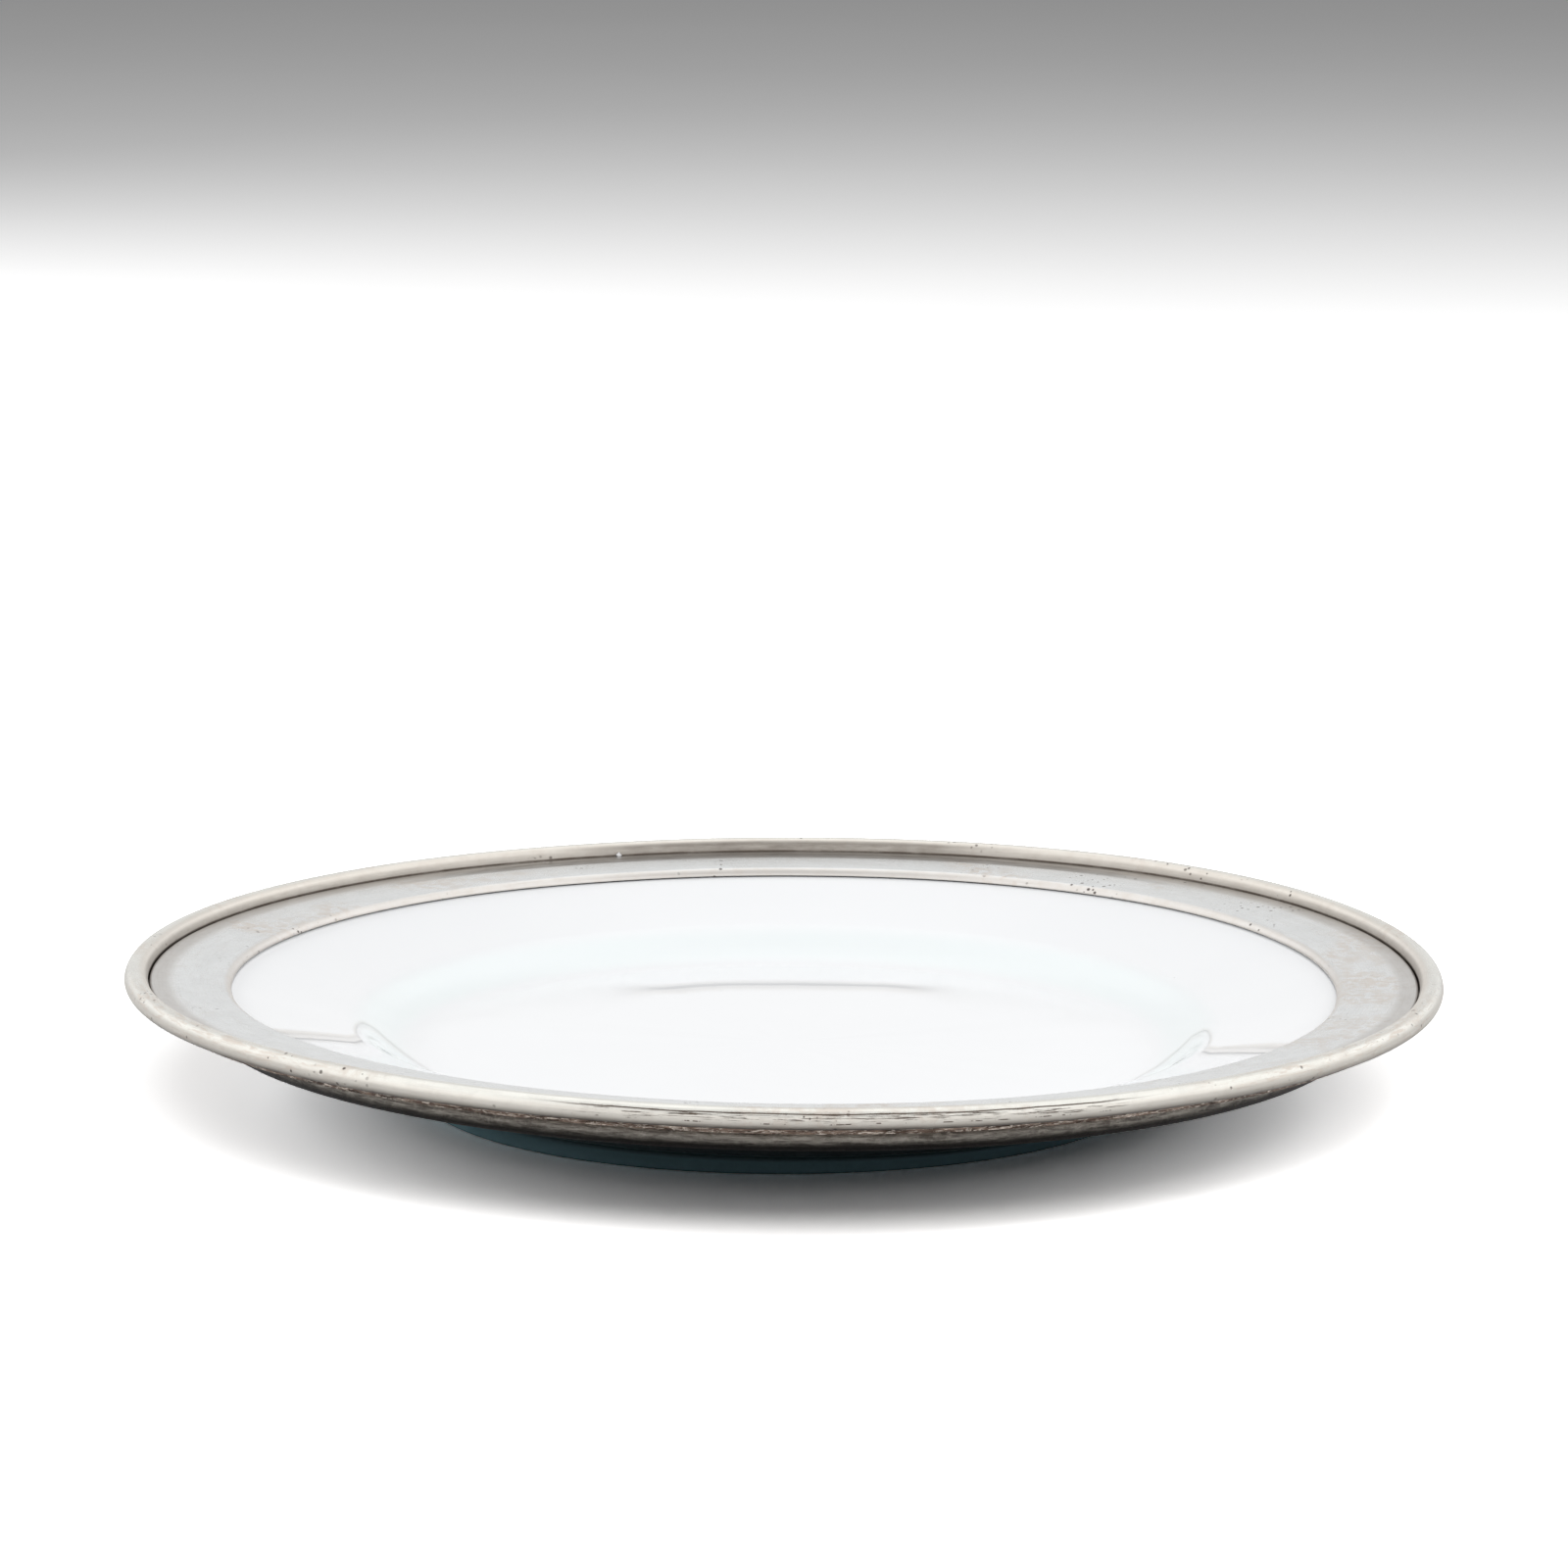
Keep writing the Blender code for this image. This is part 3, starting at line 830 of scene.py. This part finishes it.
def make_world():
    """Soft light from everywhere. Reflections see it brighter: BASE_GLOW all round, and more
    high at the back, at both sides and at the front, as from large softboxes."""
    world = bpy.data.worlds.new("studio")
    bpy.context.scene.world = world
    world.use_nodes = True
    world.cycles.sampling_method = "NONE"
    tree = world.node_tree
    background = tree.nodes["Background"]

    def add(kind, **settings):
        made = tree.nodes.new("ShaderNode" + kind)
        for key, value in settings.items():
            setattr(made, key, value)
        return made

    def feed(socket, value):
        if isinstance(value, bpy.types.NodeSocket):
            tree.links.new(value, socket)
        else:
            socket.default_value = value

    def rise(source, low, high):
        made = add("MapRange", interpolation_type="SMOOTHSTEP")
        feed(made.inputs["Value"], source)
        feed(made.inputs["From Min"], low)
        feed(made.inputs["From Max"], high)
        return made.outputs["Result"]

    def blend(factor, a, b):
        made = add("Mix", data_type="FLOAT")
        for index, value in ((0, factor), (2, a), (3, b)):
            feed(made.inputs[index], value)
        return made.outputs[0]

    split = add("SeparateXYZ")
    feed(split.inputs[0], add("TexCoord").outputs["Generated"])
    high = rise(split.outputs["Z"], *HIGH_RANGE)
    aside = add("Math", operation="ABSOLUTE")
    feed(aside.inputs[0], split.outputs["X"])
    wide = add("Math", operation="MULTIPLY_ADD")
    feed(wide.inputs[0], aside.outputs[0])
    feed(wide.inputs[1], BACK_WIDENS)
    feed(wide.inputs[2], split.outputs["Y"])
    behind = rise(wide.outputs[0], *BACK_RANGE)
    facing = add("Math", operation="MULTIPLY")
    feed(facing.inputs[0], split.outputs["Y"])
    feed(facing.inputs[1], -1.0)
    seen = blend(high, BASE_GLOW, blend(behind, ZENITH_GLOW, HIGH_BACK_GLOW))
    side = add("Math", operation="MULTIPLY")
    feed(side.inputs[0], rise(aside.outputs[0], *SIDE_RANGE))
    feed(side.inputs[1], rise(split.outputs["Z"], *SIDE_HEIGHT))
    seen = blend(side.outputs[0], seen, SIDE_GLOW)
    seen = blend(rise(facing.outputs[0], *FRONT_RANGE), seen, FRONT_GLOW)
    path = add("LightPath")
    strength = blend(path.outputs["Is Glossy Ray"], AMBIENT, seen)
    strength = blend(path.outputs["Is Camera Ray"], strength, BACKDROP)
    feed(background.inputs["Strength"], strength)
    background.inputs["Color"].default_value = (1, 1, 1, 1)


def make_softbox(name, azimuth, elevation, width, height, share):
    """A soft light toward an azimuth from the camera's side. `share` is what it adds to the
    light on level ground, where the world's plain light counts as AMBIENT."""
    turn, up = math.radians(azimuth), math.radians(elevation)
    place = Vector((-math.sin(turn) * math.cos(up), -math.cos(turn) * math.cos(up),
                    math.sin(up))) * SOFTBOX_DISTANCE
    data = bpy.data.lights.new(name, "AREA")
    data.shape = "RECTANGLE"
    data.size, data.size_y = width, height
    data.energy = share * math.pi ** 2 * SOFTBOX_DISTANCE ** 2 / math.sin(up)
    lamp = bpy.data.objects.new(name, data)
    lamp.location = place
    lamp.rotation_euler = (-place).to_track_quat("-Z", "Y").to_euler()
    lamp.visible_camera = False
    lamp.visible_glossy = False
    bpy.context.scene.collection.objects.link(lamp)


def make_camera():
    data = bpy.data.cameras.new("camera")
    data.lens = CAMERA_LENS
    data.sensor_width = CAMERA_SENSOR
    data.clip_end = CAMERA_SEES
    camera = bpy.data.objects.new("camera", data)
    camera.location = (0, -CAMERA_DISTANCE * math.cos(CAMERA_ELEVATION),
                       CAMERA_DISTANCE * math.sin(CAMERA_ELEVATION) + AIM_HEIGHT)
    camera.rotation_euler = (math.pi / 2 - CAMERA_ELEVATION + AIM_ABOVE, 0, 0)
    bpy.context.scene.collection.objects.link(camera)
    bpy.context.scene.camera = camera


def tack_mesh():
    """A small drop of solder across the crevice between flange and bead, at the back."""
    tack = bmesh.new()
    bmesh.ops.create_icosphere(tack, subdivisions=4, radius=1.0)
    turn = math.radians(TACK_DEG)
    outward = Vector((math.cos(turn), math.sin(turn), 0))
    along = Vector((-math.sin(turn), math.cos(turn), 0))
    upward = Vector((0, 0, 1))
    place = Vector(uneven(FLANGE_OUTER_R + GAP, FLANGE_TOP_Z, turn))
    width, length, height = TACK_SIZE
    for vertex in tack.verts:
        lump = 1 + TACK_LUMPS * noise.noise(vertex.co * 1.7)
        drop = (outward * vertex.co.x * width + along * vertex.co.y * length
                + upward * vertex.co.z * height)
        vertex.co = (place + drop * lump) * MM
    mesh = bpy.data.meshes.new("solder_tack")
    tack.to_mesh(mesh)
    tack.free()
    mesh.shade_smooth()
    return mesh


def make_plate():
    turned("dish", dish_section(), DISH_SEGMENTS, glaze_material(),
           ["ceramic_plate"], closed=False)
    flange = pewter_material(
        "flange_pewter", FLANGE_TONES,
        dark_bands=[(18.2, 21.0, 0.6, 0.95), (15.4, 21.0, 2.4, 0.28)],
        # painted reflection: the band darker at the back only stands for the bead's dark inner
        # face mirrored in the flange
        darker_at_back=[(12.9, 15.4, 1.6, 0.78, 0.065)],
        warm=[(-1.0, 1.5, 1.2, 0.55), (15.5, 19.0, 3.5, 0.40)],
        lines=[])
    turned("flange", flange_section(), SEGMENTS, flange, ["rim_flange"])
    bead = pewter_material(
        "bead_pewter", BEAD_TONES,
        # the third dark band is painted shade on the bead's underside; the first two are
        # patina in the crevice
        dark_bands=[(-1.0, 1.95, 0.35, 1.0), (-1.0, 3.0, 1.1, 0.40), (12.2, 14.6, 2.3, 1.0)],
        darker_at_back=[(-1.0, 3.5, 1.4, 0.68, 0.030)],
        warm=[(-1.0, 4.4, 1.6, 0.60), (9.4, 11.5, 1.5, 0.45)],
        lines=[(8.2, 0.08, 1.35), (10.2, 0.06, 0.4)], aged_from=14.6)
    turned("bead", bead_section(), SEGMENTS, bead, ["rim_bead"])
    turned("collar", collar_section(), SEGMENTS, aged_material(),
           ["under_collar"])
    bedding = band_section(BEDDING_INNER_R, BEDDING_OUTER_R, BEDDING_BOTTOM_Z, BEDDING_TOP_Z)
    turned("bedding", bedding, HIDDEN_SEGMENTS, bedding_material(),
           ["rim_bedding"])
    metal = solder_material()
    seam = band_section(SOLDER_INNER_R, SOLDER_OUTER_R, SOLDER_BOTTOM_Z, SOLDER_TOP_Z)
    turned("solder", seam, HIDDEN_SEGMENTS, metal, ["solder_seam"])
    mesh = tack_mesh()
    mesh.materials.append(metal)
    tack = bpy.data.objects.new("solder_tack", mesh)
    bpy.context.scene.collection.objects.link(tack)
    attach(tack, "root")


make_camera()
make_floor()
make_world()
for box in SOFTBOXES:
    make_softbox(*box)
make_plate()
bpy.context.scene.view_settings.view_transform = "Standard"
